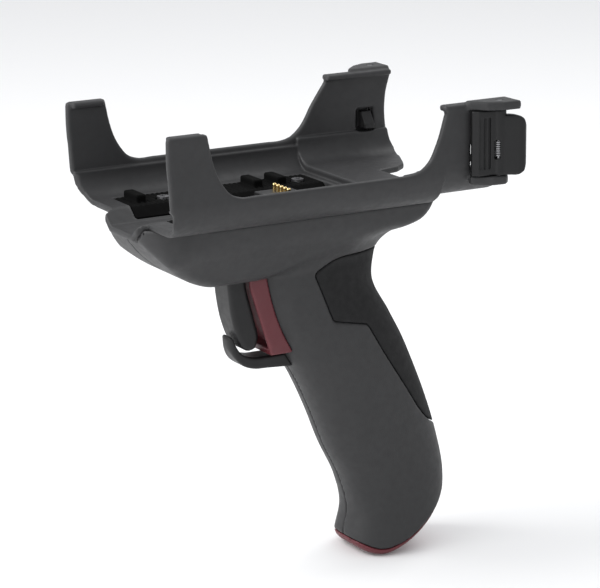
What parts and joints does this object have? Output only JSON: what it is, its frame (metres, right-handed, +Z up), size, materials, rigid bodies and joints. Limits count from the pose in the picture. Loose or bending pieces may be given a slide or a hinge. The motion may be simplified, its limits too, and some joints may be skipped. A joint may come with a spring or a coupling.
{
  "type": "handheld barcode scanner",
  "caption": "Pistol-grip scan handle for a handheld barcode computer: open cradle with sprung side latches, trigger with return spring and switch, rubber palm insert.",
  "frame": {"origin": "middle of the palm's hold on the grip, on the plane of symmetry", "axes": "+Z up, out of the cradle; -Y is the way the scanner points; +X across the cradle, towards the right_ pieces"},
  "size_m": [0.1018, 0.1391, 0.1762],
  "materials": {
    "grey_plastic": "fine spark texture, satin",
    "dark_plastic": "satin",
    "red_plastic": "satin",
    "black_rubber": "soft, finely textured",
    "seat_rubber": "ribbed, soft",
    "steel": "bright",
    "brass": "machined",
    "gold": "plated",
    "board": "solder mask",
    "white_plastic": "plain",
    "sleeve": "woven sleeve"
  },
  "bodies": {
    "handle": {"device_cradle": "grey_plastic", "right_handle_shell": "grey_plastic", "left_handle_shell": "grey_plastic", "palm_insert": "black_rubber", "base_cap": "red_plastic", "trigger_bezel": "red_plastic", "trigger_guard": "dark_plastic", "trigger_pivot_pin": "steel", "switch_body": "dark_plastic", "switch_board": "board", "board_connector": "white_plastic", "board_screws": "steel", "contact_block": "dark_plastic", "contact_seal": "black_rubber", "wire_harness": "sleeve", "right_seat_strip": "seat_rubber", "left_seat_strip": "seat_rubber", "cradle_screws": "steel", "cradle_inserts": "brass", "handle_screws": "steel", "handle_inserts": "brass", "right_latch_pin": "steel", "left_latch_pin": "steel"},
    "trigger": {"trigger_blade": "dark_plastic", "trigger_return_spring": "steel"},
    "plunger": {"switch_plunger": "white_plastic"},
    "right_latch": {"right_latch_lever": "dark_plastic", "right_latch_spring": "steel"},
    "left_latch": {"left_latch_lever": "dark_plastic", "left_latch_spring": "steel"},
    "contacts": {"contact_pins": "gold"}
  },
  "joints": [
    {"name": "trigger_pivot", "type": "hinge", "parent": "handle", "child": "trigger", "pos_m": [0, -0.054, 0.057], "axis": [1, 0, 0], "range_deg": [0, 7], "stiffness_Nm_per_rad": 0.25, "springref_deg": -6.88},
    {"name": "plunger_slide", "type": "slide", "parent": "handle", "child": "plunger", "axis": [0, 0, 1], "range_m": [0, 0.0009]},
    {"name": "right_latch_pivot", "type": "hinge", "parent": "handle", "child": "right_latch", "pos_m": [0.0446, 0.0324, 0.1], "axis": [0, 0, 1], "range_deg": [0, 18], "stiffness_Nm_per_rad": 0.06, "springref_deg": -20.05},
    {"name": "left_latch_pivot", "type": "hinge", "parent": "handle", "child": "left_latch", "pos_m": [-0.0446, 0.0324, 0.1], "axis": [0, 0, -1], "range_deg": [0, 18], "stiffness_Nm_per_rad": 0.06, "springref_deg": -20.05},
    {"name": "contact_travel", "type": "slide", "parent": "handle", "child": "contacts", "axis": [0, 0, -1], "range_m": [0, 0.0012], "stiffness_N_per_m": 800, "springref_m": -0.0008}
  ],
  "couplings": [
    {"joint": "plunger_slide", "follows": "trigger_pivot", "m_per_rad": 0.007}
  ]
}
